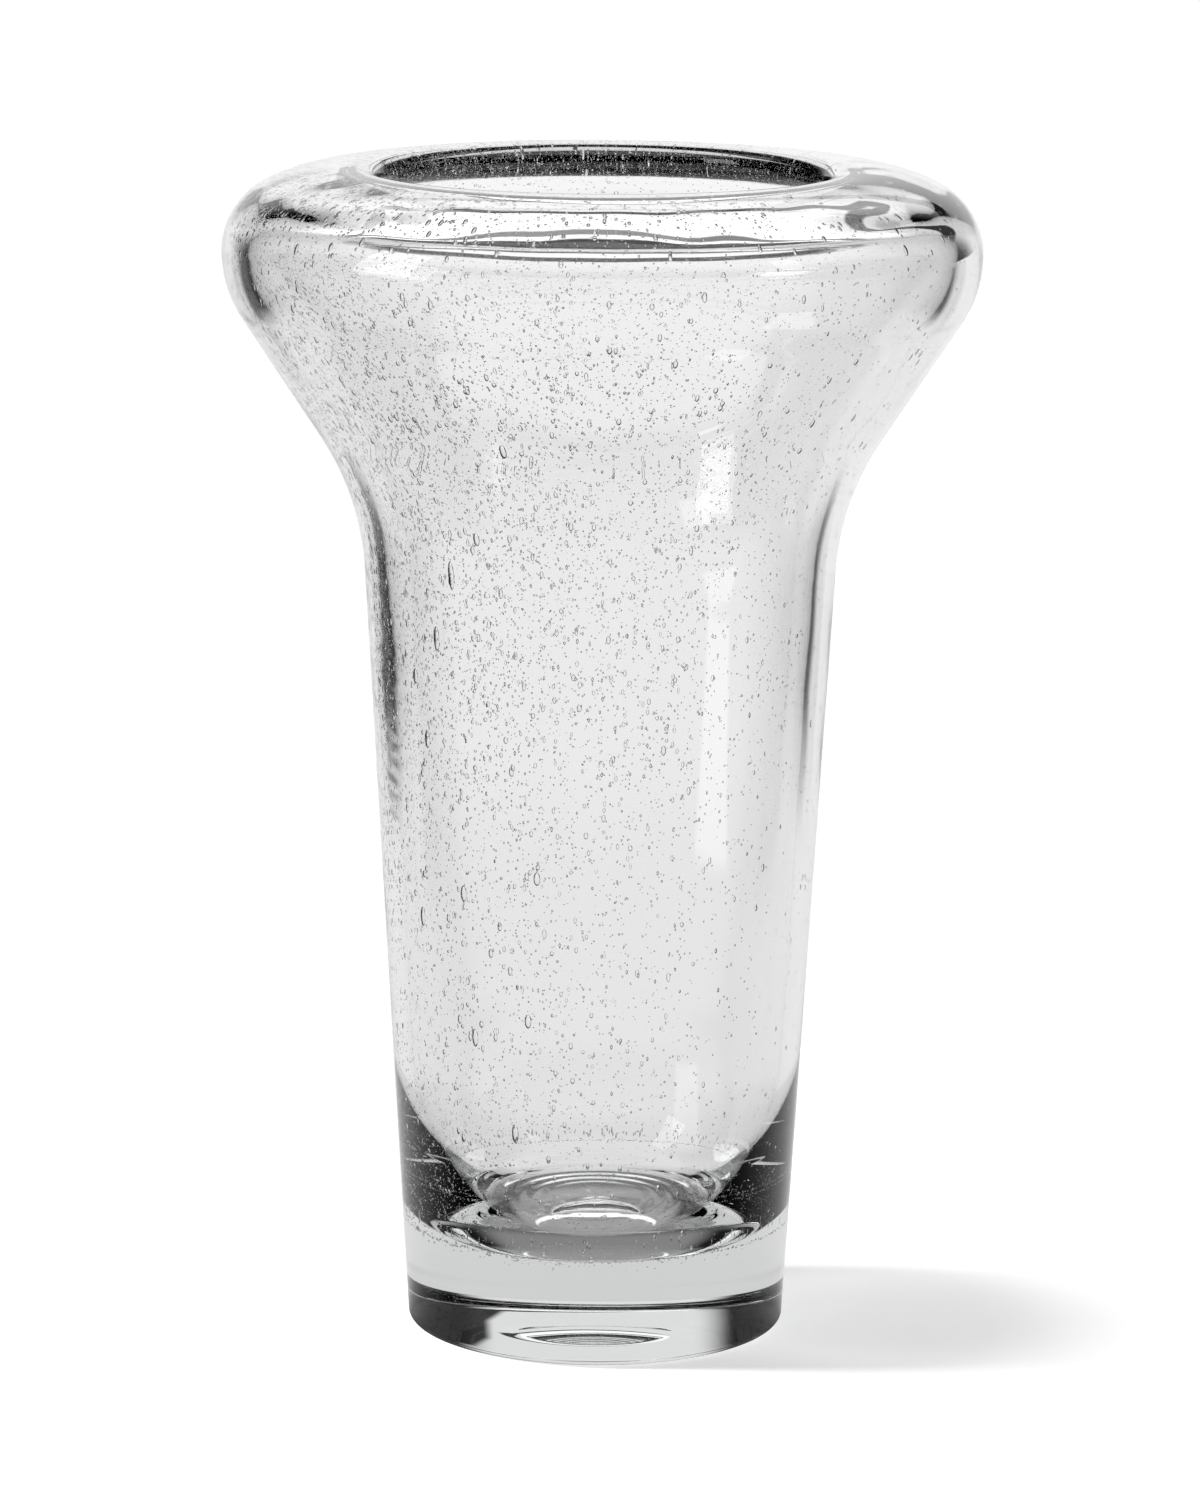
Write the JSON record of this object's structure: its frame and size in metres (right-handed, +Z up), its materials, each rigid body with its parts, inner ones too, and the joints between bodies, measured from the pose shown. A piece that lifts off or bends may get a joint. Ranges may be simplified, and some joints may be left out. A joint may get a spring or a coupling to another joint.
{
  "type": "conical vase",
  "caption": "Tall conical glass vase with a flared shoulder, a hollow rim rolled in over the mouth and a thick clear solid foot, for holding cut flowers in water.",
  "frame": {"origin": "middle of the foot, on the plane that the vase stands on", "axes": "+Z up along the axis of the vase; the picture looks along +Y, with +X to its right"},
  "size_m": [0.1924, 0.1924, 0.3],
  "materials": {
    "seeded_glass": "fire-polished colourless glass, full of small air bubbles",
    "clear_glass": "clear colourless glass, with a ground and polished dip underneath"
  },
  "bodies": {
    "root": {"seeded_body": "seeded_glass", "clear_foot": "clear_glass"}
  },
  "joints": []
}
